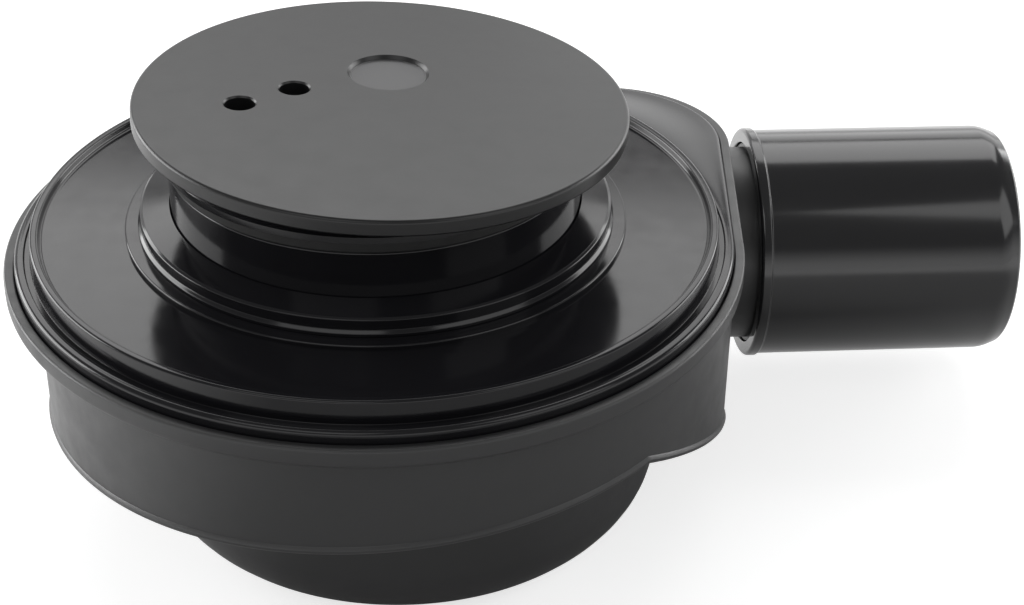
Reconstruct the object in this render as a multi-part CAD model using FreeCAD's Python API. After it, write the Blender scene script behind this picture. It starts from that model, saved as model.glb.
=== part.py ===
import FreeCAD, Part
import math
import os

# Shower trap with a side outlet, in millimetres.
# Z is up, X is the outlet direction, the origin is on the neck axis in the plane of the foot.

# Clearances
SEAT_GAP = 0.3
CUT = 0.5

# Outlet sections: the stub fits in the pipe
PIPE_R = 28.0
PIPE_WALL = 3.0
PIPE_BORE = PIPE_R - PIPE_WALL
PIPE_CHAMFER = 4.0
MOUTH_R = PIPE_R + 0.5
STUB_R = PIPE_BORE - SEAT_GAP
STUB_BORE = STUB_R - 3.5
BOSS_R = STUB_R - 0.9

# Lower housing: the lug is as wide as the stub's boss asks for
WALL = 2.6
FLANGE_R = 81.3
FLANGE_TOP = 62.7
FLANGE_T = 2.8
FLANGE_ROUND = 1.5
LIP_H = 1.8
LIP_TOP = FLANGE_TOP + LIP_H
LIP_W = 2.3
LUG_X = FLANGE_R - 25.3
LUG_Y = FLANGE_R - 37.3
BOWL_X = 2.3
BOWL_R = FLANGE_R - 4.1
BOWL_LUG_R = BOSS_R + 0.5
LUG_R = BOWL_LUG_R + 5.4
EDGE_BEVEL = 1.4

# Floor of the bowl: degrees about the neck axis, and heights
FLOOR_LOW = 12.0
FLOOR_HIGH = 41.2
SPIRAL_FROM = 55.0
SPIRAL_TO = 313.5
RAMP_TO = 366.0

# Cup under the bowl
CUP_X = 5.0
CUP_R = BOWL_R - 17.2
CUP_FOOT_R = CUP_R - 1.5
CUP_TOP = FLOOR_HIGH + 2.8
CUP_ROUND = 14.0
FLOOR_INNER_R = CUP_R - 20.0

# Deck and rim: the plate lies inside the lip
PLATE_GAP = 0.4
PLATE_R = FLANGE_R - LIP_W - PLATE_GAP
PLATE_T = 4.4
PLATE_TOP = FLANGE_TOP + PLATE_T
BEAD_R = PLATE_R - 3.8
DECK_RISE = 2.8
DECK_Z = PLATE_TOP + DECK_RISE
DECK_T = 2.6
BEAD_TOP = DECK_Z + 1.7

# Neck stack, from the deck up
NECK_R = 44.7
NECK_BORE = NECK_R - 3.3
NECK_H = 16.3
NECK_TOP = DECK_Z + NECK_H
NUT_W = 6.7
NUT_R = NECK_R + NUT_W
NUT_TOP = DECK_Z + 6.1
WASHER_R = NUT_R + 3.5
WASHER_T = 1.1
GASKET_T = 3.0
RIM_R = NECK_R + 1.6
RIM_T = 2.2
TUBE_BORE = NECK_BORE - SEAT_GAP - 2.5
TUBE_LOW_BORE = TUBE_BORE - 1.8
SEAT_Z = NECK_TOP - 2.7
TUBE_BOTTOM = SEAT_Z - 9.5

# Cover: it rides on the insert, so its height follows the neck stack
COVER_R = 53.0
COVER_T = 3.5
COVER_GAP = 3.1
COVER_TOP = NECK_TOP + GASKET_T + RIM_T + COVER_GAP + COVER_T
COVER_EDGE = 0.8
COVER_SHIFT = 1.6
COVER_TILT = 2.2
LEG_R = TUBE_BORE - 1.6
LEG_T = 1.8
CLIP_T = 0.5
HOLE_R = 3.3
HOLES = [(-30.0, -2.8), (-18.7, 4.9)]
RECESS_AT = (1.6, 13.6)
RECESS_R = 9.0
RECESS_D = 0.9

# Outlet places: the pipe's mouth stands clear of the lug
PIPE_Y = LUG_Y - 1.0
PIPE_Z = FLOOR_LOW + 23.5
PIPE_FROM = LUG_X + LUG_R + 5.1
PIPE_LENGTH = 63.2
PIPE_TO = PIPE_FROM + PIPE_LENGTH
STUB_FROM = LUG_X + 4.0
STUB_END = PIPE_FROM + 17.2
BOSS_END = PIPE_FROM + 0.7
RING_X = PIPE_FROM + 2.6
RING_T = 1.6
SEAL_X = PIPE_FROM + 10.2

# Trap insert: it hangs from the clamp flange
INSERT_R = TUBE_BORE - SEAT_GAP
BARREL_R = TUBE_LOW_BORE - 0.5
BARREL_IN = BARREL_R - 1.8
BARREL_LOW = SEAT_Z - 14.0
RECESS_IN_R = BARREL_R - 0.7
INSERT_SEAL_Z = SEAT_Z - 4.8
SHELF_Z = BARREL_LOW + 1.0
SHELF_T = 2.0
SOCKET_TOP = BARREL_LOW - 6.0
SOCKET_LOW = SOCKET_TOP - 8.0
BEAKER_R = TUBE_LOW_BORE - 0.9
BEAKER_T = 1.6
BEAKER_IN = BEAKER_R - BEAKER_T
DIP_R = BEAKER_IN - 7.3
DIP_IN = DIP_R - 1.8
DIP_SEAL_Z = SOCKET_LOW + 4.0
ARM_Z = SOCKET_LOW - 5.0
ARM_T = 2.6
ARM_SPAN = 24.0
BEAKER_RIM = ARM_Z + 10.0
BEAKER_FLOOR = WALL + 1.9
DIP_END = BEAKER_FLOOR + 9.5
STRAINER_R = BARREL_IN - 3.1
STRAINER_Z = SEAT_Z - 5.0


def tube(r_out, r_in, z0, z1):
    outer = Part.makeCylinder(r_out, z1 - z0, FreeCAD.Vector(0, 0, z0))
    inner = Part.makeCylinder(r_in, z1 - z0 + 2 * CUT, FreeCAD.Vector(0, 0, z0 - CUT))
    return outer.cut(inner)


def revolve(points, x=0.0):
    """Turn a closed outline of (radius, height) points about a vertical axis at x."""
    wire = Part.makePolygon([FreeCAD.Vector(x + r, 0, z) for r, z in points + points[:1]])
    return Part.Face(wire).revolve(FreeCAD.Vector(x, 0, 0), FreeCAD.Vector(0, 0, 1), 360)


def revolve_along_pipe(points):
    """Turn a closed outline of (x, radius) points about the outlet axis."""
    wire = Part.makePolygon([FreeCAD.Vector(x, PIPE_Y, PIPE_Z + r) for x, r in points + points[:1]])
    axis_at = FreeCAD.Vector(0, PIPE_Y, PIPE_Z)
    return Part.Face(wire).revolve(axis_at, FreeCAD.Vector(1, 0, 0), 360)


def ring_at(radius, z, section):
    """A round rubber ring about the neck axis."""
    return Part.makeTorus(radius, section, FreeCAD.Vector(0, 0, z))


def sector(r_out, r_in, z0, z1, span, middle):
    """A piece of a ring, span degrees wide."""
    outer = Part.makeCylinder(r_out, z1 - z0, FreeCAD.Vector(0, 0, z0), FreeCAD.Vector(0, 0, 1), span)
    inner = Part.makeCylinder(r_in, z1 - z0 + 2 * CUT, FreeCAD.Vector(0, 0, z0 - CUT))
    piece = outer.cut(inner)
    piece.rotate(FreeCAD.Vector(0, 0, 0), FreeCAD.Vector(0, 0, 1), middle - span / 2)
    return piece


def leg_sector(r_out, r_in, z0, z1, width):
    """Four upright strips cut from a ring, at 45 degrees to the axes."""
    ring = tube(r_out, r_in, z0, z1)
    bars = Part.makeBox(2 * r_out + 2, width, z1 - z0, FreeCAD.Vector(-r_out - 1, -width / 2, z0))
    other = bars.copy()
    other.rotate(FreeCAD.Vector(0, 0, 0), FreeCAD.Vector(0, 0, 1), 90)
    pieces = ring.common(bars.fuse(other))
    pieces.rotate(FreeCAD.Vector(0, 0, 0), FreeCAD.Vector(0, 0, 1), 45)
    return pieces


def lug_face(x0, r0, r1, z):
    """The outline round the housing: a circle drawn out to a smaller one beside the outlet."""
    dx = LUG_X - x0
    reach = math.hypot(dx, LUG_Y)
    toward = math.atan2(LUG_Y, dx)
    swing = math.acos((r0 - r1) / reach)
    low = toward - swing
    high = toward + swing

    def on(cx, cy, r, angle):
        return FreeCAD.Vector(cx + r * math.cos(angle), cy + r * math.sin(angle), z)

    big = Part.Arc(on(x0, 0, r0, high), on(x0, 0, r0, toward + math.pi), on(x0, 0, r0, low))
    small = Part.Arc(on(LUG_X, LUG_Y, r1, low), on(LUG_X, LUG_Y, r1, toward), on(LUG_X, LUG_Y, r1, high))
    side = Part.LineSegment(on(x0, 0, r0, low), on(LUG_X, LUG_Y, r1, low))
    back = Part.LineSegment(on(LUG_X, LUG_Y, r1, high), on(x0, 0, r0, high))
    edges = [big.toShape(), side.toShape(), small.toShape(), back.toShape()]
    return Part.Face(Part.Wire(edges))


def lug_block(x0, r0, r1, z0, z1):
    return lug_face(x0, r0, r1, z0).extrude(FreeCAD.Vector(0, 0, z1 - z0))


def under_helicoid(start, end, low, high):
    """Everything under a floor that climbs evenly about the neck axis from one angle to the other."""
    steps = max(6, int(abs(end - start) / 8.0))
    near = FLOOR_INNER_R / 2
    far = math.hypot(LUG_X, LUG_Y) + LUG_R
    deep = -FLOOR_LOW
    sections = []
    for k in range(steps + 1):
        angle = math.radians(start + (end - start) * k / steps)
        height = low + (high - low) * k / steps
        corners = [(near, deep), (far, deep), (far, height), (near, height), (near, deep)]
        points = [FreeCAD.Vector(r * math.cos(angle), r * math.sin(angle), z) for r, z in corners]
        sections.append(Part.makePolygon(points))
    return Part.makeLoft(sections, True, False)


def spiral_bowl(inset):
    """The bowl, smaller all round by the inset.

    Its floor falls slowly round the front, left and back to the outlet, and by a short ramp
    on the other side.
    """
    block = lug_block(BOWL_X, BOWL_R - inset, BOWL_LUG_R - inset, FLOOR_LOW + inset, FLANGE_TOP)
    core = Part.makeCylinder(FLOOR_INNER_R, FLANGE_TOP + CUT, FreeCAD.Vector(0, 0, 0))
    low = FLOOR_LOW + inset
    high = FLOOR_HIGH + inset
    spiral = under_helicoid(SPIRAL_FROM, SPIRAL_TO, low, high)
    ramp = under_helicoid(RAMP_TO, SPIRAL_TO, low, high)
    return block.cut(core).cut(spiral).cut(ramp)


def outside(edge):
    """How near the edge comes to the neck axis."""
    return min(math.hypot(p.x, p.y) for p in edge.discretize(5))


def cup(inset, top):
    foot = CUP_FOOT_R - inset
    body = revolve([(0, inset), (foot, inset), (CUP_R - inset, top), (0, top)], CUP_X)
    rim = [e for e in body.Edges if abs(e.BoundBox.ZMax - inset) < 0.01 and e.BoundBox.XLength > foot]
    return body.makeFillet(CUP_ROUND - inset, rim)


def lower_housing():
    bowl = spiral_bowl(0.0)
    sloping = [e for e in bowl.Edges if 1.0 < e.BoundBox.ZLength < FLOOR_HIGH - 1.0 and outside(e) > CUP_R]
    shell = bowl.makeChamfer(EDGE_BEVEL, sloping).Solids[0].fuse(cup(0.0, CUP_TOP))
    flange = lug_block(0.0, FLANGE_R, LUG_R, FLANGE_TOP - FLANGE_T, LIP_TOP)
    under = [e for e in flange.Edges if e.BoundBox.ZMax < FLANGE_TOP - FLANGE_T + 0.01]
    flange = flange.makeFillet(FLANGE_ROUND, under)
    over = [e for e in flange.Edges if e.BoundBox.ZMin > LIP_TOP - 0.01]
    flange = flange.makeFillet(0.6, over)
    flange = flange.cut(lug_block(0.0, FLANGE_R - LIP_W, LUG_R - LIP_W, FLANGE_TOP, LIP_TOP + CUT))
    stub = revolve_along_pipe([(STUB_FROM, 0), (STUB_FROM, BOSS_R), (BOSS_END, BOSS_R), (BOSS_END, STUB_R),
                               (STUB_END - 1.0, STUB_R), (STUB_END, STUB_R - 0.8), (STUB_END, 0)])
    shell = shell.fuse([flange, stub])
    hollow = spiral_bowl(WALL).fuse(cup(WALL, FLANGE_TOP + CUT))
    mouth = lug_block(BOWL_X, BOWL_R - WALL, BOWL_LUG_R - WALL, FLANGE_TOP - CUT, FLANGE_TOP + CUT)
    bore = revolve_along_pipe([(STUB_FROM - 2.0, 0), (STUB_FROM - 2.0, STUB_BORE),
                               (STUB_END + CUT, STUB_BORE), (STUB_END + CUT, 0)])
    clip_groove = pipe_ring(STUB_R + CUT, STUB_R - 1.2, RING_X, RING_X + RING_T)
    seal_groove = pipe_ring(STUB_R + CUT, STUB_R - 1.6, SEAL_X - 1.3, SEAL_X + 1.3)
    return shell.cut(hollow.fuse([mouth, bore])).cut([clip_groove, seal_groove]).removeSplitter()


def upper_housing():
    plate = lug_block(0.0, PLATE_R, LUG_R - LIP_W - PLATE_GAP, FLANGE_TOP, PLATE_TOP)
    top_rim = [e for e in plate.Edges if e.BoundBox.ZMin > PLATE_TOP - 0.01]
    plate = plate.makeFillet(1.0, top_rim)
    inside = BEAD_R - 4.0
    plate = plate.cut(Part.makeCylinder(inside, 10, FreeCAD.Vector(0, 0, FLANGE_TOP - CUT)))
    dish = revolve([(NECK_BORE, DECK_Z - DECK_T), (NECK_BORE, NECK_TOP), (NECK_R, NECK_TOP),
                    (NECK_R, DECK_Z), (BEAD_R - 1.8, DECK_Z), (BEAD_R - 1.6, BEAD_TOP - 0.4),
                    (BEAD_R - 1.0, BEAD_TOP), (BEAD_R - 0.3, BEAD_TOP), (BEAD_R + 0.2, BEAD_TOP - 0.5),
                    (BEAD_R + 0.6, PLATE_TOP + 1.0), (BEAD_R + 0.6, PLATE_TOP - 1.0),
                    (inside - CUT, PLATE_TOP - 1.0), (inside - 1.2, DECK_Z - DECK_T)])
    # shallow groove between the bead and the edge band
    groove = tube(BEAD_R + 1.9, BEAD_R + 0.6, PLATE_TOP - 0.6, PLATE_TOP + 2.0)
    seal_groove = seal_block(0.0, FLANGE_TOP - CUT, FLANGE_TOP + 1.7)
    return plate.fuse(dish).cut(groove).cut(seal_groove).removeSplitter()


def seal_block(gap, z0, z1):
    """The ring-shaped space of the seal between the housings."""
    drop = LIP_W + PLATE_GAP
    outer = lug_block(0.0, PLATE_R - 1.2 - gap, LUG_R - drop - 1.2 - gap, z0, z1)
    return outer.cut(lug_block(0.0, PLATE_R - 3.4 + gap, LUG_R - drop - 3.4 + gap, z0 - CUT, z1 + CUT))


def housing_seal():
    return seal_block(0.1, FLANGE_TOP, FLANGE_TOP + 1.6)


def neck_washer():
    return tube(WASHER_R, NECK_R + SEAT_GAP, DECK_Z, DECK_Z + WASHER_T)


def neck_nut():
    bottom = DECK_Z + WASHER_T
    return revolve([(NECK_R + SEAT_GAP, bottom), (NUT_R + 0.6, bottom), (NUT_R + 0.6, bottom + 0.8),
                    (NUT_R, bottom + 1.4), (NUT_R, NUT_TOP - 1.3), (NUT_R - 0.6, NUT_TOP - 0.9),
                    (NECK_R + SEAT_GAP, NUT_TOP)])


def tray_gasket():
    outer = NECK_R + 0.4
    inner = NECK_BORE + SEAT_GAP
    z0 = NECK_TOP
    z1 = NECK_TOP + GASKET_T
    return revolve([(inner, z0), (outer - 0.4, z0), (outer, z0 + 0.5), (outer, z1 - 0.5),
                    (outer - 0.4, z1), (inner, z1)])


def clamp_flange():
    rim_z = NECK_TOP + GASKET_T
    top = rim_z + RIM_T
    r_out = NECK_BORE - SEAT_GAP
    body = revolve([(TUBE_LOW_BORE, TUBE_BOTTOM), (r_out, TUBE_BOTTOM), (r_out, rim_z), (RIM_R, rim_z),
                    (RIM_R, top - 0.8), (RIM_R - 0.8, top), (TUBE_BORE, top), (TUBE_BORE, SEAT_Z),
                    (TUBE_LOW_BORE, SEAT_Z)])
    groove = tube(r_out + CUT, r_out - 1.5, TUBE_BOTTOM + 2.0, TUBE_BOTTOM + 4.6)
    body = body.cut(groove)
    # four notches in the rim for the fitting key
    for k in range(4):
        notch = Part.makeBox(6.0, 5.0, RIM_T, FreeCAD.Vector(-3.0, TUBE_BORE - 2.0, top - 1.2))
        notch.rotate(FreeCAD.Vector(0, 0, 0), FreeCAD.Vector(0, 0, 1), 90 * k)
        body = body.cut(notch)
    return body


def flange_oring():
    return ring_at(NECK_BORE - SEAT_GAP - 0.62, TUBE_BOTTOM + 3.3, 0.85)


def as_pushed_in(shape):
    """Set the cover a little askew, its left side not pushed home."""
    shape.rotate(FreeCAD.Vector(0, 0, COVER_TOP), FreeCAD.Vector(0, 1, 0), COVER_TILT)
    shape.translate(FreeCAD.Vector(COVER_SHIFT, 0, 0))
    return shape


def cover_plate():
    r = COVER_R
    z0 = COVER_TOP - COVER_T
    body = revolve([(0, z0), (r - 0.6, z0), (r, z0 + 0.6), (r, COVER_TOP - COVER_EDGE),
                    (r - 0.25, COVER_TOP - 0.25), (r - COVER_EDGE, COVER_TOP), (0, COVER_TOP)])
    for x, y in HOLES:
        body = body.cut(Part.makeCylinder(HOLE_R, COVER_T + 2, FreeCAD.Vector(x, y, z0 - 1)))
    x, y = RECESS_AT
    bottom = COVER_TOP - RECESS_D
    recess = Part.makeCone(RECESS_R - 1.0, RECESS_R, RECESS_D + 0.01, FreeCAD.Vector(x, y, bottom))
    return as_pushed_in(body.cut(recess))


def cover_legs():
    under = COVER_TOP - COVER_T
    ring = tube(LEG_R, LEG_R - 3.7, under - 1.6, under)
    legs = leg_sector(LEG_R, LEG_R - LEG_T, SEAT_Z + 3.2, under - 1.0, 11.0)
    return as_pushed_in(ring.fuse(legs).removeSplitter())


def cover_clips():
    return as_pushed_in(leg_sector(LEG_R + CLIP_T, LEG_R, SEAT_Z + 3.6, COVER_TOP - COVER_T - 3.4, 6.0))


def strainer():
    seat = SEAT_Z + 1.0
    floor = STRAINER_Z
    rim = RECESS_IN_R - SEAT_GAP
    body = revolve([(0, floor), (STRAINER_R, floor), (STRAINER_R, seat), (rim, seat), (rim, seat + 1.2),
                    (STRAINER_R - 1.4, seat + 1.2), (STRAINER_R - 1.4, floor + 1.4), (0, floor + 1.4)])
    hole = Part.makeCylinder(2.0, 3.0, FreeCAD.Vector(0, 0, floor - 0.8))
    holes = []
    for radius, count in ((0.0, 1), (8.0, 6), (16.0, 12), (24.0, 16)):
        for k in range(count):
            angle = 2 * math.pi * k / count
            one = hole.copy()
            one.translate(FreeCAD.Vector(radius * math.cos(angle), radius * math.sin(angle), 0))
            holes.append(one)
    return body.cut(Part.makeCompound(holes))


def insert_body():
    top = SEAT_Z + 2.0
    body = revolve([(BARREL_IN, SEAT_Z + 1.0), (RECESS_IN_R, SEAT_Z + 1.0), (RECESS_IN_R, top),
                    (INSERT_R, top), (INSERT_R, SEAT_Z), (BARREL_R, SEAT_Z), (BARREL_R, BARREL_LOW - 1.2),
                    (DIP_R + 2.0, SOCKET_TOP - 1.0), (DIP_R + 2.0, SOCKET_LOW), (DIP_R + 0.1, SOCKET_LOW),
                    (DIP_R + 0.1, SOCKET_TOP), (DIP_IN, SOCKET_TOP), (BARREL_IN, BARREL_LOW)])
    groove = tube(BARREL_R + CUT, BARREL_R - 1.1, INSERT_SEAL_Z - 1.2, INSERT_SEAL_Z + 1.2)
    body = body.cut(groove)
    for turn in (0, 180):
        shelf = Part.makeBox(5.0, 8.0, SHELF_T, FreeCAD.Vector(BARREL_IN - 4.0, -4.0, SHELF_Z))
        shelf.rotate(FreeCAD.Vector(0, 0, 0), FreeCAD.Vector(0, 0, 1), turn)
        body = body.fuse(shelf)
    return body.removeSplitter()


def insert_oring():
    return ring_at(BARREL_R - 0.32, INSERT_SEAL_Z, 0.75)


def pull_bar():
    half = BARREL_IN - SEAT_GAP
    z = SHELF_Z + SHELF_T
    bar = Part.makeBox(2 * half, 5.0, 3.0, FreeCAD.Vector(-half, -2.5, z))
    bar = bar.common(Part.makeCylinder(half, 10, FreeCAD.Vector(0, 0, z - 3)))
    upright = [e for e in bar.Edges if e.BoundBox.XLength > half]
    return bar.makeFillet(0.8, upright)


def dip_tube():
    body = tube(DIP_R, DIP_IN, DIP_END, SOCKET_TOP - 0.1)
    body = body.cut(tube(DIP_R + CUT, DIP_R - 0.9, DIP_SEAL_Z - 1.0, DIP_SEAL_Z + 1.0))
    for k in range(3):
        arm = sector(BEAKER_IN - 0.7, DIP_R - 0.5, ARM_Z, ARM_Z + ARM_T, ARM_SPAN, 120.0 * k)
        body = body.fuse(arm)
    return body.removeSplitter()


def dip_oring():
    return ring_at(DIP_R - 0.4, DIP_SEAL_Z, 0.45)


def beaker():
    inner = BEAKER_IN
    floor = BEAKER_FLOOR
    body = revolve([(0, floor), (BEAKER_R - 3.0, floor), (BEAKER_R - 0.9, floor + 0.9),
                    (BEAKER_R, floor + 3.0), (BEAKER_R, BEAKER_RIM), (inner, BEAKER_RIM),
                    (inner, floor + 3.4), (inner - 1.6, floor + BEAKER_T), (0, floor + BEAKER_T)])
    hook_z = ARM_Z + ARM_T
    for k in range(3):
        body = body.fuse(sector(inner + 0.5, DIP_R + 2.6, hook_z, hook_z + 2.4, ARM_SPAN, 120.0 * k))
    return body.removeSplitter()


def pipe_ring(r_out, r_in, x0, x1):
    return revolve_along_pipe([(x0, r_in), (x0, r_out), (x1, r_out), (x1, r_in)])


def outlet_clip():
    """A split ring that holds the pipe's mouth on the stub."""
    ring = pipe_ring(STUB_R + 1.7, STUB_R - 1.2, RING_X, RING_X + RING_T)
    split = Part.makeBox(RING_T + 2, 8.0, 10.0, FreeCAD.Vector(RING_X - 1, PIPE_Y - 4, PIPE_Z + STUB_R - 5))
    return ring.cut(split)


def outlet_oring():
    middle = FreeCAD.Vector(SEAL_X, PIPE_Y, PIPE_Z)
    return Part.makeTorus(STUB_R - 0.68, 0.9, middle, FreeCAD.Vector(1, 0, 0))


def outlet_pipe():
    body = revolve_along_pipe([(PIPE_FROM, PIPE_BORE), (PIPE_FROM, MOUTH_R - 1.3),
                               (PIPE_FROM + 0.3, MOUTH_R - 0.5), (PIPE_FROM + 1.0, MOUTH_R),
                               (PIPE_FROM + 2.0, MOUTH_R), (PIPE_FROM + 2.6, PIPE_R),
                               (PIPE_TO - PIPE_CHAMFER, PIPE_R), (PIPE_TO - 0.6, PIPE_R - 1.2),
                               (PIPE_TO, PIPE_R - 1.7), (PIPE_TO, PIPE_BORE)])
    groove = pipe_ring(STUB_R + 2.0, PIPE_BORE - CUT, RING_X - SEAT_GAP, RING_X + RING_T + SEAT_GAP)
    return body.cut(groove)


NODES = {
    "cover_plate": cover_plate,
    "cover_legs": cover_legs,
    "cover_clips": cover_clips,
    "strainer": strainer,
    "insert_body": insert_body,
    "insert_oring": insert_oring,
    "pull_bar": pull_bar,
    "dip_tube": dip_tube,
    "dip_oring": dip_oring,
    "beaker": beaker,
    "clamp_flange": clamp_flange,
    "flange_oring": flange_oring,
    "tray_gasket": tray_gasket,
    "neck_nut": neck_nut,
    "neck_washer": neck_washer,
    "upper_housing": upper_housing,
    "housing_seal": housing_seal,
    "lower_housing": lower_housing,
    "outlet_oring": outlet_oring,
    "outlet_clip": outlet_clip,
    "outlet_pipe": outlet_pipe,
}

os.makedirs("parts", exist_ok=True)
for name, make in NODES.items():
    shape = make()
    shape.exportStep("parts/" + name + ".step")
    box = shape.BoundBox
    print(name, shape.isValid(), len(shape.Solids), round(shape.Volume / 1000.0, 2),
          [round(v, 1) for v in (box.XMin, box.XMax, box.YMin, box.YMax, box.ZMin, box.ZMax)])
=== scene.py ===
import math
import bmesh
import bpy
from mathutils import Matrix, Vector


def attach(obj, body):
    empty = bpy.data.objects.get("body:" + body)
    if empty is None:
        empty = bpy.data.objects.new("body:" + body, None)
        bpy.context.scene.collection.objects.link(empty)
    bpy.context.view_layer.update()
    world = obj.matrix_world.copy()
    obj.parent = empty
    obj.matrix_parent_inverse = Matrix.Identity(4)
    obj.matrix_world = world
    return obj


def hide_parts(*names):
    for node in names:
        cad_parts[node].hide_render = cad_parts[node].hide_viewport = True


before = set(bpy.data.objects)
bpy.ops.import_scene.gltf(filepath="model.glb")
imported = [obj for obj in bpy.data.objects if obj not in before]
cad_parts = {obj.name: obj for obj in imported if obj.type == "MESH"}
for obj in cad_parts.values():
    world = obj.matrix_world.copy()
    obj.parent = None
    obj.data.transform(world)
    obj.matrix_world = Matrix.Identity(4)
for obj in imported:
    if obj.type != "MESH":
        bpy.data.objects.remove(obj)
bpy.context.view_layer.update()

MM = 0.001

# Sizes in millimetres and angles in degrees, as in the part's source
COVER_R, COVER_TOP, COVER_T = 53.0, 98.0, 3.5
COVER_SHIFT, COVER_TILT = 1.6, 2.2
HOLE_R, HOLES = 3.3, ((-30.0, -2.8), (-18.7, 4.9))
RECESS_AT, RECESS_R, RECESS_D = (1.6, 13.6), 9.0, 0.9
NECK_R, NECK_BORE, NECK_TOP, GASKET_T = 44.7, 41.4, 86.2, 3.0
DECK_Z, DECK_T, BEAD_R, BEAD_TOP = 69.9, 2.6, 74.8, 71.6
PLATE_TOP, PLATE_R = 67.1, 78.6
NUT_R, NUT_TOP, WASHER_R, WASHER_T = 51.4, 76.0, 54.9, 1.1
WALL, FLANGE_R, FLANGE_TOP, FLANGE_T = 2.6, 81.3, 62.7, 2.8
LIP_TOP, LIP_W = 64.5, 2.3
LUG, LUG_R = (56.0, 44.0), 29.7
BOWL_X, BOWL_R, BOWL_LUG_R = 2.3, 77.2, 24.3
FLOOR_LOW, FLOOR_HIGH = 12.0, 41.2
SPIRAL_FROM, SPIRAL_TO, RAMP_TO = 55.0, 313.5, 366.0
CUP_X, CUP_R, CUP_FOOT_R, CUP_TOP, CUP_ROUND = 5.0, 60.0, 58.5, 44.0, 14.0
PIPE_Y, PIPE_Z, PIPE_R, PIPE_BORE = 43.0, 35.5, 28.0, 25.0
PIPE_FROM, PIPE_TO, MOUTH_R = 90.8, 154.0, 28.5
BOSS_R, BOSS_END, STUB_R, STUB_BORE, STUB_END = 23.8, 91.5, 24.7, 21.2, 108.0
RING_X, RING_T, SEAL_X = 93.4, 1.6, 101.0
SEAT_GAP = 0.3

# Fine forms of the cover. A lead is (wider than the hole, above the cover) from the top down
COVER_EDGE, COVER_LOW_EDGE = 0.8, 0.5
HOLE_LEAD = ((1.2, 1.0), (0.35, 0.05), (0.0, -0.4))
RECESS_LEAD = ((0.1, 1.0), (0.05, 0.02), (-0.15, -0.2))
RECESS_FLOOR_R, RECESS_ROUND = RECESS_R - 0.6, 0.4

# Fine forms of the neck
NUT_FOOT, NUT_FOOT_T, NUT_SLOPE = 0.6, 0.8, 0.6
NUT_FOOT_ROUND, NUT_ROUND = 0.25, 0.3
NUT_CROWN_FROM, NUT_CROWN_TO = NUT_TOP - 1.3, NUT_TOP - 0.9
GASKET_R, GASKET_ROUND, WASHER_ROUND = NECK_R + 0.4, 0.6, 0.4

# Fine forms of the deck. The plate reaches FIT into its gap in the lip and falls toward its edge
DECK_LOW, GROOVE_Z = DECK_Z - DECK_T, PLATE_TOP - 0.6
RIM_IN, RIM_TOP_IN, DECK_IN = BEAD_R - 4.0, BEAD_R - 4.5, BEAD_R - 5.2
BEAD_IN_FOOT, BEAD_IN, BEAD_OUT, BEAD_OUT_FOOT = BEAD_R - 1.8, BEAD_R - 1.4, BEAD_R + 0.3, BEAD_R + 0.6
GROOVE_OUT = BEAD_R + 1.9
PLATE_ROUND, FIT = 1.0, 0.28
PLATE_SLOPE, LUG_FALL = 0.09, 2.0
BAND_FROM, BAND_STEPS = BEAD_R + 2.4, 10

# Fine forms of the lower housing
LIP_IN_ROUND, LIP_OUT_ROUND, LIP_EASE = 0.4, 0.6, 0.3
FLANGE_LOW, FLANGE_ROUND = FLANGE_TOP - FLANGE_T, 1.5
ROOT, ROOT_MIDDLE = 0.8, 0.25
WALL_STEPS = 8
RIDGE, RIDGE_PROUD, RIDGE_CLEAR = 1.7, 0.5, 1.0
RIDGE_TOP, RIDGE_SHOULDER, SHOULDER_SHARE = RIDGE + 0.8, RIDGE + 0.5, 0.6
CUP_ROOT, CUP_SLACK = 0.8, 0.5
CUP_STEPS, FOOT_STEPS, FOOT_STEPS_INSIDE = 4, 12, 8

# Fine forms of the outlet
STUB_FROM, BORE_FROM, STUB_ROUND = 66.0, 60.0, 0.8
RING_GROOVE_D, SEAL_GROOVE_D, SEAL_HALF = 1.2, 1.6, 1.3
RING_SEAT_R = STUB_R + 2.0
MOUTH_T, MOUTH_SLOPE = 2.4, 0.4
NOSE, NOSE_DROP, NOSE_ROUND = 3.7, 1.2, 9.0
TIP, TIP_DROP = 0.5, 1.7

# How finely the skins are divided, and when an edge stays sharp
ROUND_STEPS = 5
TURN_STEPS, OUTLET_STEPS, RECESS_STEPS, HOLE_STEPS = 256, 128, 96, 64
STAR_STEPS = 720
SHARP = 32.0

# How far a cutter stands out of what it cuts, and the smallest radius about the outlet axis
PAST = 1.0
NEAR_AXIS = 0.01


def rounded(outline, closed=True):
    """Points of an outline of (a, b) or (a, b, radius) corners, with the arcs put in."""
    corners = [(c[0], c[1], c[2] if len(c) > 2 else 0.0) for c in outline]
    points = []
    count = len(corners)
    for i, (a, b, radius) in enumerate(corners):
        here = Vector((a, b))
        if radius <= 0 or (not closed and i in (0, count - 1)):
            points.append(here)
            continue
        before = (Vector(corners[i - 1][:2]) - here).normalized()
        after = (Vector(corners[(i + 1) % count][:2]) - here).normalized()
        half = before.angle(after) / 2
        reach = radius / math.tan(half)
        centre = here + (before + after).normalized() * radius / math.sin(half)
        start = here + before * reach - centre
        end = here + after * reach - centre
        swing = start.angle_signed(end)
        for k in range(ROUND_STEPS + 1):
            turn = -swing * k / ROUND_STEPS
            c, s = math.cos(turn), math.sin(turn)
            points.append(centre + Vector((start.x * c - start.y * s, start.x * s + start.y * c)))
    return points


def bridge(bm, first, second):
    """Faces between two rings. Corners that meet in one point are counted once."""
    count = len(first)
    for i in range(count):
        j = (i + 1) % count
        corners = [first[i], first[j], second[j], second[i]]
        corners = [v for n, v in enumerate(corners) if v not in corners[:n]]
        if len(corners) > 2:
            bm.faces.new(corners)


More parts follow.
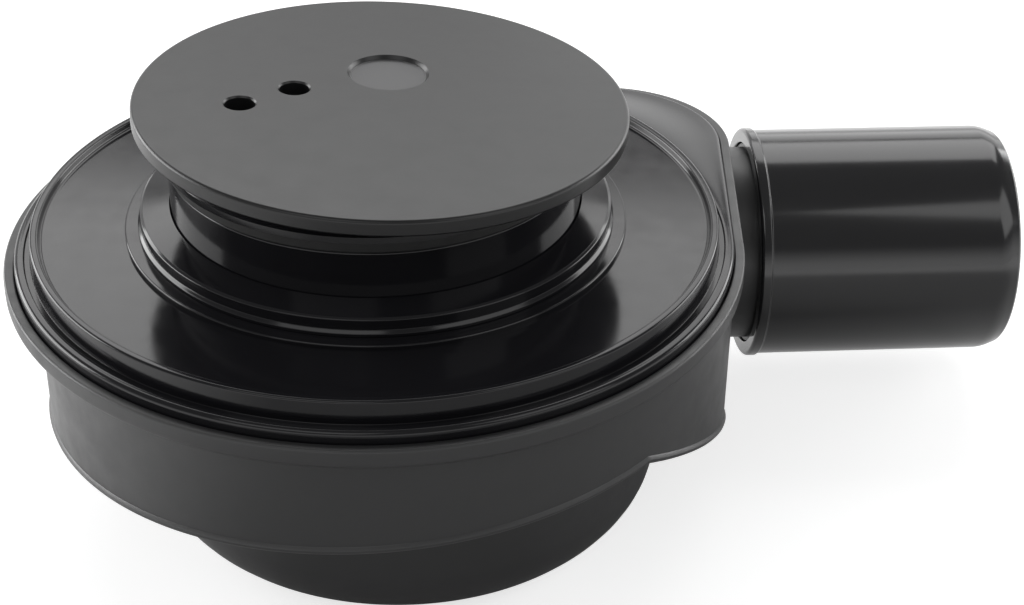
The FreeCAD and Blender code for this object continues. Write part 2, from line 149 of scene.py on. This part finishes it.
def skinned(name, bm, rings):
    """An object from rings, each joined to the next and the last to the first."""
    for first, second in zip(rings, rings[1:] + rings[:1]):
        if first[0] is not first[1] or second[0] is not second[1]:
            bridge(bm, first, second)
    bmesh.ops.recalc_face_normals(bm, faces=bm.faces)
    mesh = bpy.data.meshes.new(name)
    bm.to_mesh(mesh)
    bm.free()
    obj = bpy.data.objects.new(name, mesh)
    bpy.context.scene.collection.objects.link(obj)
    smooth(obj)
    return obj


def smooth(obj):
    """Smooth faces, with the sharp corners kept."""
    obj.data.shade_smooth()
    obj.data.set_sharp_from_angle(angle=math.radians(SHARP))


def even_shading(obj):
    """Keep flat faces flat next to their rounded edges."""
    modifier = obj.modifiers.new("even_shading", "WEIGHTED_NORMAL")
    modifier.keep_sharp = True
    modifier.weight = 60


def turned(name, outline, x=0.0, y=0.0, steps=TURN_STEPS):
    """A closed (radius, height) outline turned about an upright axis."""
    bm = bmesh.new()
    rings = []
    for point in rounded(outline):
        if point.x < 1e-6:
            rings.append([bm.verts.new((x * MM, y * MM, point.y * MM))] * steps)
            continue
        ring = []
        for k in range(steps):
            angle = 2 * math.pi * k / steps
            ring.append(bm.verts.new(((x + point.x * math.cos(angle)) * MM,
                                      (y + point.x * math.sin(angle)) * MM, point.y * MM)))
        rings.append(ring)
    return skinned(name, bm, rings)


def turned_along_pipe(name, outline, steps=TURN_STEPS):
    """A closed (x, radius) outline turned about the outlet axis."""
    bm = bmesh.new()
    rings = []
    for point in rounded(outline):
        ring = []
        for k in range(steps):
            angle = 2 * math.pi * k / steps
            ring.append(bm.verts.new((point.x * MM, (PIPE_Y + point.y * math.cos(angle)) * MM,
                                      (PIPE_Z + point.y * math.sin(angle)) * MM)))
        rings.append(ring)
    return skinned(name, bm, rings)


def star(name, loops):
    """A skin over closed loops. A loop is one point, or gives (distance, height) for an angle."""
    bm = bmesh.new()
    rings = []
    angles = [2 * math.pi * k / STAR_STEPS for k in range(STAR_STEPS)]
    for loop in loops:
        if isinstance(loop, tuple):
            rings.append([bm.verts.new([v * MM for v in loop])] * STAR_STEPS)
            continue
        ring = []
        for angle in angles:
            distance, height = loop(angle)
            ring.append(bm.verts.new((distance * math.cos(angle) * MM,
                                      distance * math.sin(angle) * MM, height * MM)))
        rings.append(ring)
    return skinned(name, bm, rings)


def ray_to_circle(angle, cx, cy, radius):
    """How far the circle's far side is from the neck axis in that direction, or None."""
    along = cx * math.cos(angle) + cy * math.sin(angle)
    inside = radius ** 2 - (cx ** 2 + cy ** 2 - along ** 2)
    return along + math.sqrt(inside) if inside >= 0 else None


def lug_reach(angle, x0, big, small):
    """Distance from the neck axis to the outline drawn round a big and a small circle."""
    dx = LUG[0] - x0
    reach = math.hypot(dx, LUG[1])
    toward = math.atan2(LUG[1], dx)
    swing = math.acos((big - small) / reach)
    found = [ray_to_circle(angle, x0, 0.0, big)]
    for side in (toward - swing, toward + swing):
        nx, ny = math.cos(side), math.sin(side)
        facing = nx * math.cos(angle) + ny * math.sin(angle)
        if facing < 1e-6:
            continue
        distance = (x0 * nx + big) / facing
        px = distance * math.cos(angle) - x0 - big * nx
        py = distance * math.sin(angle) - big * ny
        along = (px * dx + py * LUG[1]) / reach
        if 0 <= along <= reach * math.sin(swing) ** 2:
            found.append(distance)
    lug = ray_to_circle(angle, LUG[0], LUG[1], small)
    if lug is not None:
        found.append(lug)
    return max(found)


# Loops of the upper housing

def round_loop(radius, height):
    return lambda angle: (radius, height)


def plate_loop(inset, height):
    small = LUG_R - FLANGE_R + PLATE_R
    return lambda angle: (lug_reach(angle, 0.0, PLATE_R - inset, small - inset), height)


def plate_width(angle):
    """From the groove beside the bead to the plate's rounded edge."""
    return plate_loop(PLATE_ROUND - FIT, 0.0)(angle)[0] - BAND_FROM


def plate_fall(angle):
    """How far the plate falls toward its edge: hardly at the narrow band, most at the lug."""
    return min(LUG_FALL, PLATE_SLOPE * plate_width(angle))


def plate_between(share):
    """On the plate's top, so far from the groove to the rounded edge."""
    ease = share * share * (3.0 - 2.0 * share)
    return lambda angle: (BAND_FROM + plate_width(angle) * share, PLATE_TOP - plate_fall(angle) * ease)


def plate_edge(inset, height):
    return lambda angle: (plate_loop(inset, height)(angle)[0], height - plate_fall(angle))


# Loops of the lower housing

def flange_loop(inset, height):
    return lambda angle: (lug_reach(angle, 0.0, FLANGE_R - inset, LUG_R - inset), height)


def floor_height(angle):
    """Height of the underside of the bowl's floor in that direction."""
    degrees = math.degrees(angle) % 360.0
    if degrees < RAMP_TO - 360.0:
        degrees += 360.0
    if degrees < SPIRAL_FROM:
        return FLOOR_LOW
    if degrees <= SPIRAL_TO:
        share = (degrees - SPIRAL_FROM) / (SPIRAL_TO - SPIRAL_FROM)
    else:
        share = (RAMP_TO - degrees) / (RAMP_TO - SPIRAL_TO)
    return FLOOR_LOW + (FLOOR_HIGH - FLOOR_LOW) * share


def bowl_reach(angle, inset):
    return lug_reach(angle, BOWL_X, BOWL_R - inset, BOWL_LUG_R - inset)


def bowl_loop(inset, height):
    return lambda angle: (bowl_reach(angle, inset), height)


def bowl_over_floor(inset, above):
    """On the bowl's side wall, so far above the sloping floor."""
    return lambda angle: (bowl_reach(angle, inset), floor_height(angle) + above)


def bowl_wall(share):
    """On the outside of the bowl's wall, so far from the flange to the ridge."""
    def at(angle):
        top = FLANGE_LOW - ROOT
        low = floor_height(angle) + RIDGE + RIDGE_CLEAR
        return bowl_reach(angle, 0.0), top + (low - top) * share
    return at


def on_cup(angle, height, inset):
    """Reach and height of a point on the cup's side or its rounded foot."""
    radius = CUP_FOOT_R + (CUP_R - CUP_FOOT_R) * height / CUP_TOP - inset
    curve = CUP_ROUND - inset
    above = height - inset
    if above < curve:
        radius += math.sqrt(max(0.0, curve ** 2 - (curve - above) ** 2)) - curve
    return ray_to_circle(angle, CUP_X, 0.0, radius), height


def cup_over_floor(inset, above):
    return lambda angle: on_cup(angle, floor_height(angle) + above, inset)


def cup_below_floor(inset, above, share):
    """So far from the floor to the top of the cup's rounded foot."""
    def at(angle):
        top = floor_height(angle) + above
        low = min(top - CUP_SLACK, CUP_ROUND)
        return on_cup(angle, top + (low - top) * share, inset)
    return at


def foot_arc(inset, above, share):
    """So far round the cup's foot, from its side to its flat."""
    def at(angle):
        top = min(floor_height(angle) + above - CUP_SLACK, CUP_ROUND)
        radius = CUP_ROUND - inset
        start = math.acos((CUP_ROUND - top) / radius) if top < CUP_ROUND else math.pi / 2
        return on_cup(angle, CUP_ROUND - radius * math.cos(start * (1 - share)), inset)
    return at


def quarter_turns():
    """Cosine and sine over a quarter of a circle."""
    for k in range(ROUND_STEPS + 1):
        turn = math.radians(90.0 * k / ROUND_STEPS)
        yield math.cos(turn), math.sin(turn)


def flange_arc(inset, height, radius, start, end):
    """Loops round an edge of the flange. The inset grows inward."""
    loops = []
    for k in range(ROUND_STEPS + 1):
        turn = math.radians(start + (end - start) * k / ROUND_STEPS)
        loops.append(flange_loop(inset - radius * math.cos(turn), height + radius * math.sin(turn)))
    return loops


def lower_housing_shell():
    """Lip, flange, bowl with its spiral floor and cup, outside and inside, in one skin."""
    loops = flange_arc(LIP_W - LIP_IN_ROUND, LIP_TOP - LIP_IN_ROUND, LIP_IN_ROUND, 180, 90)
    loops += flange_arc(LIP_OUT_ROUND, LIP_TOP - LIP_OUT_ROUND, LIP_OUT_ROUND, 90, 0)
    loops += flange_arc(FLANGE_ROUND, FLANGE_LOW + FLANGE_ROUND, FLANGE_ROUND, 0, -90)
    loops.append(bowl_loop(-ROOT, FLANGE_LOW))
    loops.append(bowl_loop(-ROOT_MIDDLE, FLANGE_LOW - ROOT_MIDDLE))
    loops.append(bowl_loop(0.0, FLANGE_LOW - ROOT))
    loops += [bowl_wall(k / WALL_STEPS) for k in range(1, WALL_STEPS)]
    loops.append(bowl_over_floor(0.0, RIDGE_TOP))
    loops.append(bowl_over_floor(-RIDGE_PROUD * SHOULDER_SHARE, RIDGE_SHOULDER))
    for c, s in quarter_turns():
        loops.append(bowl_over_floor((RIDGE + RIDGE_PROUD) * (1 - c) - RIDGE_PROUD, RIDGE * (1 - s)))
    loops.append(cup_over_floor(-CUP_ROOT, 0.0))
    loops += [cup_below_floor(0.0, -CUP_ROOT, k / CUP_STEPS) for k in range(CUP_STEPS + 1)]
    loops += [foot_arc(0.0, -CUP_ROOT, k / FOOT_STEPS) for k in range(1, FOOT_STEPS + 1)]
    loops.append((CUP_X, 0.0, 0.0))
    # The inside, from the cup's flat up
    loops.append((CUP_X, 0.0, WALL))
    loops += [foot_arc(WALL, WALL, k / FOOT_STEPS_INSIDE) for k in range(FOOT_STEPS_INSIDE, 0, -1)]
    loops += [cup_below_floor(WALL, WALL, k / CUP_STEPS) for k in range(CUP_STEPS - 1, -1, -1)]
    loops.append(cup_over_floor(WALL, WALL))
    loops.append(bowl_over_floor(WALL, WALL))
    loops.append(bowl_loop(WALL, FLANGE_LOW))
    loops.append(bowl_loop(WALL, FLANGE_TOP))
    loops.append(flange_loop(LIP_W + LIP_EASE, FLANGE_TOP))
    loops.append(flange_loop(LIP_W, FLANGE_TOP + LIP_EASE))
    return star("lower_housing_skin", loops)


def upper_housing_shell():
    """Neck, deck, bead, groove and edge band in one skin."""
    outline = [(RIM_IN, FLANGE_TOP), (RIM_TOP_IN, PLATE_TOP - PLATE_ROUND), (DECK_IN, DECK_LOW, 1.0),
               (NECK_BORE, DECK_LOW), (NECK_BORE, NECK_TOP, 0.3), (NECK_R, NECK_TOP, 0.4),
               (NECK_R, DECK_Z, 0.5), (BEAD_IN_FOOT, DECK_Z, 0.7), (BEAD_IN, BEAD_TOP, 0.6),
               (BEAD_OUT, BEAD_TOP, 0.6), (BEAD_OUT_FOOT, GROOVE_Z, 0.15), (GROOVE_OUT, GROOVE_Z, 0.15),
               (GROOVE_OUT, PLATE_TOP, 0.2), (BAND_FROM, PLATE_TOP)]
    loops = [round_loop(point.x, point.y) for point in rounded(outline, closed=False)]
    loops += [plate_between(k / BAND_STEPS) for k in range(1, BAND_STEPS)]
    for c, s in quarter_turns():
        loops.append(plate_edge(PLATE_ROUND * (1 - s) - FIT, PLATE_TOP - PLATE_ROUND * (1 - c)))
    loops.append(plate_loop(-FIT, FLANGE_TOP))
    return star("upper", loops)


def groove(start, end, depth):
    """Four corners of a ring groove in the stub."""
    return [(start, STUB_R), (start, STUB_R - depth), (end, STUB_R - depth), (end, STUB_R)]


def cut_with(obj, cutter, operation="DIFFERENCE"):
    """Boolean with another object, applied, and the other object removed."""
    modifier = obj.modifiers.new("cut", "BOOLEAN")
    modifier.operation = operation
    modifier.solver = "EXACT"
    modifier.object = cutter
    graph = bpy.context.evaluated_depsgraph_get()
    mesh = bpy.data.meshes.new_from_object(obj.evaluated_get(graph))
    obj.modifiers.clear()
    obj.data = mesh
    bpy.data.objects.remove(cutter)


# Nodes

def feed(tree, value, socket):
    """Link an output to the socket, or set a constant on it."""
    if isinstance(value, bpy.types.NodeSocket):
        tree.links.new(value, socket)
    else:
        socket.default_value = value


def calculated(tree, operation, first, second):
    node = tree.nodes.new("ShaderNodeMath")
    node.operation = operation
    feed(tree, first, node.inputs[0])
    feed(tree, second, node.inputs[1])
    return node.outputs[0]


def of_vectors(tree, operation, first, second, result):
    node = tree.nodes.new("ShaderNodeVectorMath")
    node.operation = operation
    feed(tree, first, node.inputs[0])
    feed(tree, second, node.inputs[1])
    return node.outputs[result]


def ranged(tree, value, from_low, from_high, low=0.0, high=1.0, kind="LINEAR"):
    """The value moved from one range to another, and held at its ends."""
    node = tree.nodes.new("ShaderNodeMapRange")
    node.interpolation_type = kind
    node.inputs["From Min"].default_value = from_low
    node.inputs["From Max"].default_value = from_high
    node.inputs["To Min"].default_value = low
    node.inputs["To Max"].default_value = high
    tree.links.new(value, node.inputs["Value"])
    return node.outputs["Result"]


def mixed(tree, kind, share, first, second):
    node = tree.nodes.new("ShaderNodeMix")
    node.data_type = kind
    feed(tree, share, node.inputs["Factor"])
    feed(tree, first, node.inputs["A"])
    feed(tree, second, node.inputs["B"])
    return node.outputs["Result"]


def noise(tree, place, scale, detail=3.0):
    node = tree.nodes.new("ShaderNodeTexNoise")
    node.inputs["Scale"].default_value = scale
    node.inputs["Detail"].default_value = detail
    node.inputs["Roughness"].default_value = NOISE_ROUGH
    tree.links.new(place, node.inputs["Vector"])
    return node.outputs["Fac"]


def bump(tree, height, distance):
    node = tree.nodes.new("ShaderNodeBump")
    node.inputs["Distance"].default_value = distance * MM
    node.inputs["Strength"].default_value = 1.0
    tree.links.new(height, node.inputs["Height"])
    return node


def background_rays(tree, mirrored):
    """1 for rays that see the white background, and so much of it for mirrored ones."""
    rays = tree.nodes.new("ShaderNodeLightPath").outputs
    glossy = calculated(tree, "MULTIPLY", rays["Is Glossy Ray"], mirrored)
    through = calculated(tree, "MAXIMUM", rays["Is Transmission Ray"], glossy)
    return calculated(tree, "MAXIMUM", rays["Is Camera Ray"], through)


# Materials. Noise scales are per metre, drifts are shares, and grain and wave are in millimetres

DRIFT_SCALE, GLOSS_SCALE, WAVE_SCALE, GRAIN_SCALE = 55.0, 170.0, 38.0, 2600.0
COLOUR_DRIFT = 0.15
NOISE_LOW, NOISE_HIGH, NOISE_ROUGH = 0.3, 0.7, 0.55
DISC_BLEND = 0.4


def moulded(name, colour, roughness, grain, wave, metal=0.0, specular=0.5, stretch=(1, 1, 1)):
    """Moulded material: slight colour drift, uneven gloss, a long wave and a fine grain."""
    material = bpy.data.materials.new(name)
    material.use_nodes = True
    tree = material.node_tree
    shader = tree.nodes["Principled BSDF"]
    squeeze = tree.nodes.new("ShaderNodeMapping")
    squeeze.inputs["Scale"].default_value = stretch
    tree.links.new(tree.nodes.new("ShaderNodeTexCoord").outputs["Object"], squeeze.inputs["Vector"])
    place = squeeze.outputs["Vector"]
    dark = (*(c * (1 - COLOUR_DRIFT) for c in colour), 1)
    light = (*(c * (1 + COLOUR_DRIFT) for c in colour), 1)
    drift = mixed(tree, "RGBA", noise(tree, place, DRIFT_SCALE), dark, light)
    tree.links.new(drift, shader.inputs["Base Color"])
    gloss = ranged(tree, noise(tree, place, GLOSS_SCALE, 5.0), NOISE_LOW, NOISE_HIGH, *roughness)
    tree.links.new(gloss, shader.inputs["Roughness"])
    slow = bump(tree, noise(tree, place, WAVE_SCALE, 1.0), wave)
    fine = bump(tree, noise(tree, place, GRAIN_SCALE, 2.0), grain)
    tree.links.new(slow.outputs["Normal"], fine.inputs["Normal"])
    tree.links.new(fine.outputs["Normal"], shader.inputs["Normal"])
    shader.inputs["Metallic"].default_value = metal
    shader.inputs["Specular IOR Level"].default_value = specular
    return material


def polished_disc(material, x, y, radius, finish):
    """Another colour and roughness inside a circle seen from above."""
    tree = material.node_tree
    shader = tree.nodes["Principled BSDF"]
    place = tree.nodes.new("ShaderNodeTexCoord").outputs["Object"]
    flat = of_vectors(tree, "MULTIPLY", place, (1, 1, 0), "Vector")
    away = of_vectors(tree, "DISTANCE", flat, (x * MM, y * MM, 0), "Value")
    inside = ranged(tree, away, radius * MM, (radius - DISC_BLEND) * MM)
    for socket, kind, value in finish:
        before = shader.inputs[socket].links[0].from_socket
        tree.links.new(mixed(tree, kind, inside, before, value), shader.inputs[socket])


FINISHES = {
    "satin_black": dict(colour=(0.023, 0.023, 0.024), roughness=(0.38, 0.48), grain=0.012, wave=0.02,
                        specular=0.8),
    "gloss_black": dict(colour=(0.011, 0.0108, 0.0126), roughness=(0.1, 0.15), grain=0.0004, wave=0.012,
                        specular=0.45),
    "cover_plastic": dict(colour=(0.013, 0.013, 0.0135), roughness=(0.29, 0.35), grain=0.006,
                          wave=0.006),
    "pipe_black": dict(colour=(0.011, 0.011, 0.0125), roughness=(0.12, 0.18), grain=0.002, wave=0.01,
                       specular=0.85, stretch=(0.12, 1, 1)),
    "insert_plastic": dict(colour=(0.055, 0.056, 0.06), roughness=(0.4, 0.5), grain=0.01, wave=0.01),
    "seal_rubber": dict(colour=(0.01, 0.01, 0.01), roughness=(0.6, 0.75), grain=0.02, wave=0.01),
    "clip_steel": dict(colour=(0.6, 0.6, 0.61), roughness=(0.22, 0.34), grain=0.002, wave=0.002,
                       metal=1.0, stretch=(1, 1, 20)),
}
MATERIALS = {slot: moulded(slot, **finish) for slot, finish in FINISHES.items()}

DISC_FINISH = (("Base Color", "RGBA", (0.085, 0.085, 0.087, 1)), ("Roughness", "FLOAT", 0.24))
recess_x, recess_y = RECESS_AT[0] + COVER_SHIFT, RECESS_AT[1]
polished_disc(MATERIALS["cover_plastic"], recess_x, recess_y, RECESS_FLOOR_R, DISC_FINISH)


def stand_in(obj, node, body, slot):
    """Put a detailed piece in a CAD node's place."""
    even_shading(obj)
    obj.data.materials.clear()
    obj.data.materials.append(MATERIALS[slot])
    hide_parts(node)
    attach(obj, body)


# Cover

above, below = COVER_TOP + PAST, COVER_TOP - COVER_T - PAST
cover = turned("cover", [(0, COVER_TOP), (COVER_R, COVER_TOP, COVER_EDGE),
                         (COVER_R, COVER_TOP - COVER_T, COVER_LOW_EDGE), (0, COVER_TOP - COVER_T)])
hole = [(HOLE_R + wider, COVER_TOP + up) for wider, up in HOLE_LEAD]
for x, y in HOLES:
    cut_with(cover, turned("drill", [(0, above), *hole, (HOLE_R, below), (0, below)], x, y, HOLE_STEPS))
recess = [(RECESS_R + wider, COVER_TOP + up) for wider, up in RECESS_LEAD]
recess_floor = [(RECESS_FLOOR_R, COVER_TOP - RECESS_D, RECESS_ROUND), (0, COVER_TOP - RECESS_D)]
cut_with(cover, turned("dish", [(0, above), *recess, *recess_floor], *RECESS_AT, RECESS_STEPS))
pivot = Matrix.Translation(Vector((0, 0, COVER_TOP)) * MM)
lean = Matrix.Rotation(math.radians(COVER_TILT), 4, "Y")
shift = Matrix.Translation(Vector((COVER_SHIFT, 0, 0)) * MM)
cover.data.transform(shift @ pivot @ lean @ pivot.inverted())
smooth(cover)
stand_in(cover, "cover_plate", "cover", "cover_plastic")

# Neck

seat = NECK_R + SEAT_GAP
nut_low = DECK_Z + WASHER_T
slope_low = nut_low + NUT_FOOT_T
nut = turned("nut", [(seat, nut_low), (NUT_R + NUT_FOOT, nut_low, NUT_FOOT_ROUND),
                     (NUT_R + NUT_FOOT, slope_low, NUT_FOOT_ROUND),
                     (NUT_R, slope_low + NUT_SLOPE, NUT_ROUND), (NUT_R, NUT_CROWN_FROM, NUT_ROUND),
                     (NUT_R - NUT_FOOT, NUT_CROWN_TO, NUT_ROUND), (seat, NUT_TOP)])
stand_in(nut, "neck_nut", "housing", "gloss_black")

washer = turned("washer", [(seat, DECK_Z), (WASHER_R, DECK_Z), (WASHER_R, nut_low, WASHER_ROUND),
                           (seat, nut_low)])
stand_in(washer, "neck_washer", "housing", "gloss_black")

gasket_top = NECK_TOP + GASKET_T
gasket_in = NECK_BORE + SEAT_GAP
gasket = turned("gasket", [(gasket_in, NECK_TOP), (GASKET_R, NECK_TOP, GASKET_ROUND),
                           (GASKET_R, gasket_top, GASKET_ROUND), (gasket_in, gasket_top)])
stand_in(gasket, "tray_gasket", "housing", "seal_rubber")

# Housings

stand_in(upper_housing_shell(), "upper_housing", "housing", "gloss_black")

lower = lower_housing_shell()
stub = turned_along_pipe("stub", [(STUB_FROM, BOSS_R), (BOSS_END, BOSS_R), (BOSS_END, STUB_R),
                                  *groove(RING_X, RING_X + RING_T, RING_GROOVE_D),
                                  *groove(SEAL_X - SEAL_HALF, SEAL_X + SEAL_HALF, SEAL_GROOVE_D),
                                  (STUB_END, STUB_R, STUB_ROUND), (STUB_END, NEAR_AXIS),
                                  (STUB_FROM, NEAR_AXIS)], OUTLET_STEPS)
cut_with(lower, stub, "UNION")
bore = turned_along_pipe("bore", [(BORE_FROM, STUB_BORE), (STUB_END + PAST, STUB_BORE),
                                  (STUB_END + PAST, NEAR_AXIS), (BORE_FROM, NEAR_AXIS)], OUTLET_STEPS)
cut_with(lower, bore)
smooth(lower)
stand_in(lower, "lower_housing", "housing", "satin_black")

# Outlet pipe

seat_from, seat_to = RING_X - SEAT_GAP, RING_X + RING_T + SEAT_GAP
mouth_to = PIPE_FROM + MOUTH_T
pipe = turned_along_pipe("pipe", [(PIPE_FROM, PIPE_BORE, 0.3), (PIPE_FROM, MOUTH_R, 0.9),
                                  (mouth_to, MOUTH_R, 0.4), (mouth_to + MOUTH_SLOPE, PIPE_R, 0.3),
                                  (PIPE_TO - NOSE, PIPE_R, NOSE_ROUND),
                                  (PIPE_TO - TIP, PIPE_R - NOSE_DROP, 0.5),
                                  (PIPE_TO, PIPE_R - TIP_DROP, 0.3), (PIPE_TO, PIPE_BORE, 0.3),
                                  (seat_to, PIPE_BORE), (seat_to, RING_SEAT_R),
                                  (seat_from, RING_SEAT_R), (seat_from, PIPE_BORE)])
stand_in(pipe, "outlet_pipe", "pipe", "pipe_black")

# The rest keep their solids, with their edges eased by so many millimetres

KEPT = {
    "clamp_flange": ("gloss_black", 0.3),
    "cover_legs": ("insert_plastic", 0.25),
    "strainer": ("insert_plastic", 0.25),
    "insert_body": ("insert_plastic", 0.25),
    "pull_bar": ("insert_plastic", 0.3),
    "dip_tube": ("insert_plastic", 0.25),
    "beaker": ("insert_plastic", 0.25),
    "outlet_clip": ("insert_plastic", 0.2),
    "cover_clips": ("clip_steel", 0.08),
    "insert_oring": ("seal_rubber", 0),
    "dip_oring": ("seal_rubber", 0),
    "flange_oring": ("seal_rubber", 0),
    "housing_seal": ("seal_rubber", 0),
    "outlet_oring": ("seal_rubber", 0),
}
for name, (slot, ease) in KEPT.items():
    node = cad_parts[name]
    for place in node.material_slots:
        place.link = "OBJECT"
        place.material = MATERIALS[slot]
    if ease:
        soften = node.modifiers.new("eased_edges", "BEVEL")
        soften.width = ease * MM
        soften.segments = 2
        soften.limit_method = "ANGLE"
        soften.angle_limit = math.radians(50)
        soften.harden_normals = True

# Floor, in metres. It glows for camera rays and, as painted light, in reflections too. Close in front
# of the outlet a painted shadow leaves it unlit in reflections, and it glows more far away

FLOOR_HALF = 6.0
# Centre of the painted shadow in the floor's reflections, and the distances over which it fades out
PAINTED_SHADOW_AT, PAINTED_SHADOW_FROM, PAINTED_SHADOW_TO = (0.1, -0.21, 0.0), 0.2, 0.3
FAR_FROM, FAR_TO = 0.6, 1.4
NEAR_GLOW, FAR_GLOW = 0.72, 1.0
PAPER_GREY = 0.6


def studio_floor():
    mesh = bpy.data.meshes.new("floor")
    corners = [(-1, -1), (1, -1), (1, 1), (-1, 1)]
    mesh.from_pydata([(x * FLOOR_HALF, y * FLOOR_HALF, 0) for x, y in corners], [], [(0, 1, 2, 3)])
    paper = bpy.data.materials.new("paper")
    paper.use_nodes = True
    tree = paper.node_tree
    shader = tree.nodes["Principled BSDF"]
    shader.inputs["Base Color"].default_value = (PAPER_GREY, PAPER_GREY, PAPER_GREY, 1)
    shader.inputs["Roughness"].default_value = 0.9
    shader.inputs["Specular IOR Level"].default_value = 0.1
    shader.inputs["Emission Color"].default_value = (1, 1, 1, 1)
    place = tree.nodes.new("ShaderNodeTexCoord").outputs["Object"]
    away = of_vectors(tree, "DISTANCE", place, PAINTED_SHADOW_AT, "Value")
    # Painted shadow: reflections see no glow close in front of the outlet, where the object's own
    # shadow would be
    glow_share_with_painted_shadow = background_rays(tree, ranged(tree, away, PAINTED_SHADOW_FROM, PAINTED_SHADOW_TO))
    glow = ranged(tree, away, FAR_FROM, FAR_TO, NEAR_GLOW, FAR_GLOW)
    tree.links.new(calculated(tree, "MULTIPLY", glow_share_with_painted_shadow, glow), shader.inputs["Emission Strength"])
    mesh.materials.append(paper)
    floor = bpy.data.objects.new("floor", mesh)
    bpy.context.scene.collection.objects.link(floor)


studio_floor()

# World: bright low down behind and to the left, dim above and in front

SKY_TOWARD, SKY_FROM, SKY_TO = (-0.4, 0.75, -0.9), -0.2, 0.9
SKY_DIM, SKY_BRIGHT = 0.2, 0.95
BACKDROP_TOP, BACKDROP_FULL = 0.34, 0.1


def studio_world():
    world = bpy.data.worlds.new("studio")
    bpy.context.scene.world = world
    world.use_nodes = True
    tree = world.node_tree
    background = tree.nodes["Background"]
    background.inputs["Color"].default_value = (1, 1, 1, 1)
    direction = tree.nodes.new("ShaderNodeTexCoord").outputs["Generated"]
    toward = of_vectors(tree, "DOT_PRODUCT", direction, SKY_TOWARD, "Value")
    level = ranged(tree, toward, SKY_FROM, SKY_TO, SKY_DIM, SKY_BRIGHT, "SMOOTHSTEP")
    upward = tree.nodes.new("ShaderNodeSeparateXYZ")
    tree.links.new(direction, upward.inputs[0])
    white = background_rays(tree, ranged(tree, upward.outputs["Z"], BACKDROP_TOP, BACKDROP_FULL))
    tree.links.new(mixed(tree, "FLOAT", white, level, 1.0), background.inputs["Strength"])


studio_world()

# Lights, in metres: place, what it faces, width, height and radiance

SOFTBOXES = {
    "back": ((0.12, 0.98, 1.04), (0, 0, 0.05), 1.6, 0.8, 2.05),
    "back_low": ((0.6, 1.15, 0.42), (0, 0, 0.05), 0.9, 0.4, 0.9),
    "left": ((-1.05, 0.45, 0.34), (0, 0, 0.03), 1.0, 0.6, 5.2),
    "back_right": ((1.05, 0.5, 0.35), (0, 0, 0.03), 0.8, 0.5, 4.0),
    "front": ((-0.4, -0.72, 0.98), (0, 0, 0.05), 0.8, 0.55, 1.0),
    "right": ((0.78, -0.52, 0.82), (0.14, 0.04, 0.04), 0.7, 0.75, 1.1),
}
for name, (at, target, width, height, radiance) in SOFTBOXES.items():
    data = bpy.data.lights.new(name, "AREA")
    data.shape = "RECTANGLE"
    data.size = width
    data.size_y = height
    data.energy = radiance * math.pi * width * height
    lamp = bpy.data.objects.new(name, data)
    lamp.location = at
    lamp.rotation_euler = (Vector(target) - Vector(at)).to_track_quat("-Z", "Y").to_euler()
    bpy.context.scene.collection.objects.link(lamp)

# Camera, at the photograph's angle

RIGHT = Vector((0.99748525, -0.06967765, 0.01296908))
UP = Vector((0.02577705, 0.5271158, 0.84940242))
AHEAD = Vector((0.06602057, 0.84693209, -0.52758632))
CAMERA_AT = Vector((0, -386.354, 286.760))
FOCAL_PIXELS, PHOTO_WIDTH = 2000.24, 1024
SENSOR = 36.0

camera_data = bpy.data.cameras.new("camera")
camera_data.sensor_width = SENSOR
camera_data.lens = SENSOR * FOCAL_PIXELS / PHOTO_WIDTH
camera = bpy.data.objects.new("camera", camera_data)
facing = Matrix((RIGHT, UP, -AHEAD)).transposed().to_4x4()
camera.matrix_world = Matrix.Translation(CAMERA_AT * MM) @ facing
bpy.context.scene.collection.objects.link(camera)
bpy.context.scene.camera = camera
bpy.context.scene.view_settings.view_transform = "Standard"
